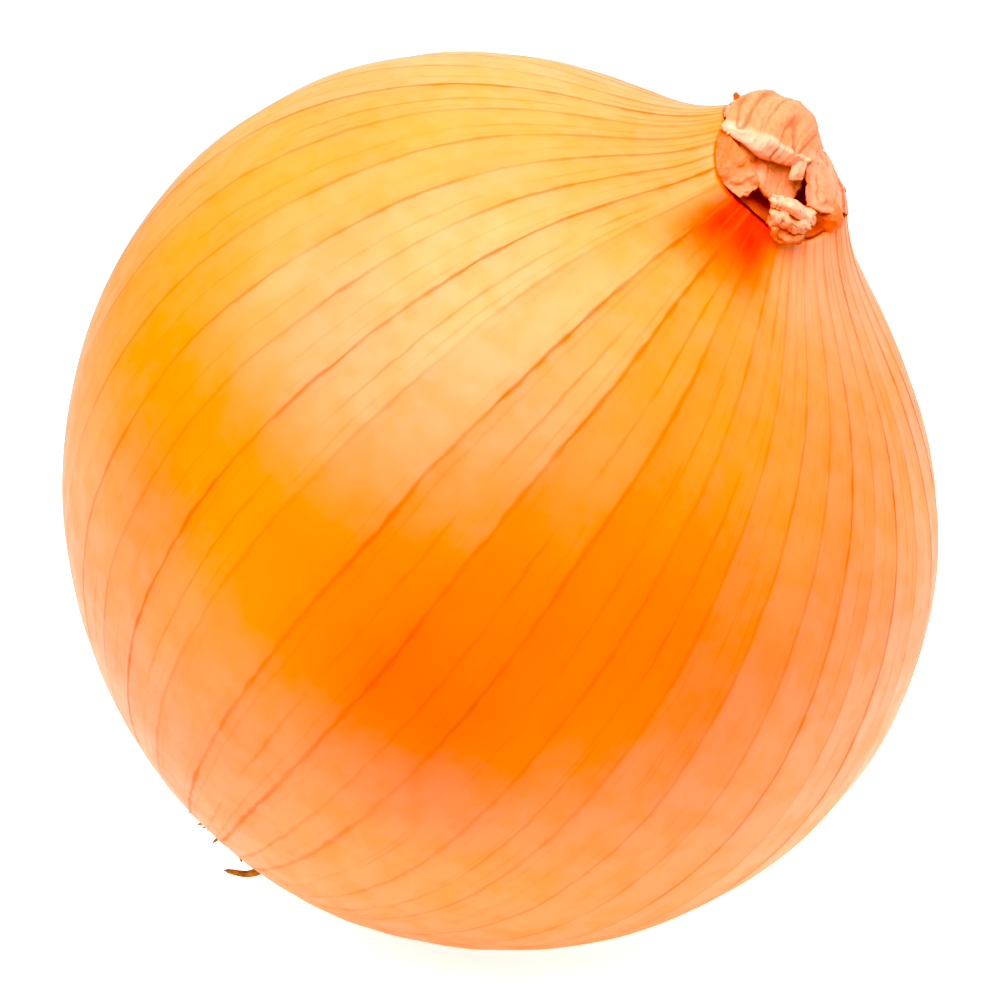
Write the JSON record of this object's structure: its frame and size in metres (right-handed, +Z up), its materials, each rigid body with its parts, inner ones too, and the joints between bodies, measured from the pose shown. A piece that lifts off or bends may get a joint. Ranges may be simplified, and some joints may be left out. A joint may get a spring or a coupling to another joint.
{
  "type": "onion",
  "caption": "Whole dry yellow onion lying on its side: round ribbed bulb in glossy skin, short crumpled dry neck, curled leaf ends and a tuft of dry roots.",
  "frame": {"origin": "on the supporting surface, in the small flat spot under the bulb, straight below the bulb's centre", "axes": "+Z up; the root-to-neck axis lies in the XZ plane and leans 38 degrees from upright towards +X, so the neck is up on the +X side and the root is low on the -X side; -Y is the front"},
  "size_m": [0.077, 0.08, 0.0776],
  "materials": {
    "bulb_skin": "thin glossy golden-orange onion skin with fine darker veins",
    "dry_neck": "dry papery golden skin, crumpled, with darker fold lines",
    "dry_leaf": "dry papery pale leaf ends with dark red shadowed edges",
    "dry_root": "dry matt tan rootlets on a corky brown plate"
  },
  "bodies": {
    "root": {"bulb": "bulb_skin", "neck_sheath": "dry_neck", "inner_leaf_ends": "dry_leaf", "root_tuft": "dry_root"}
  },
  "joints": []
}
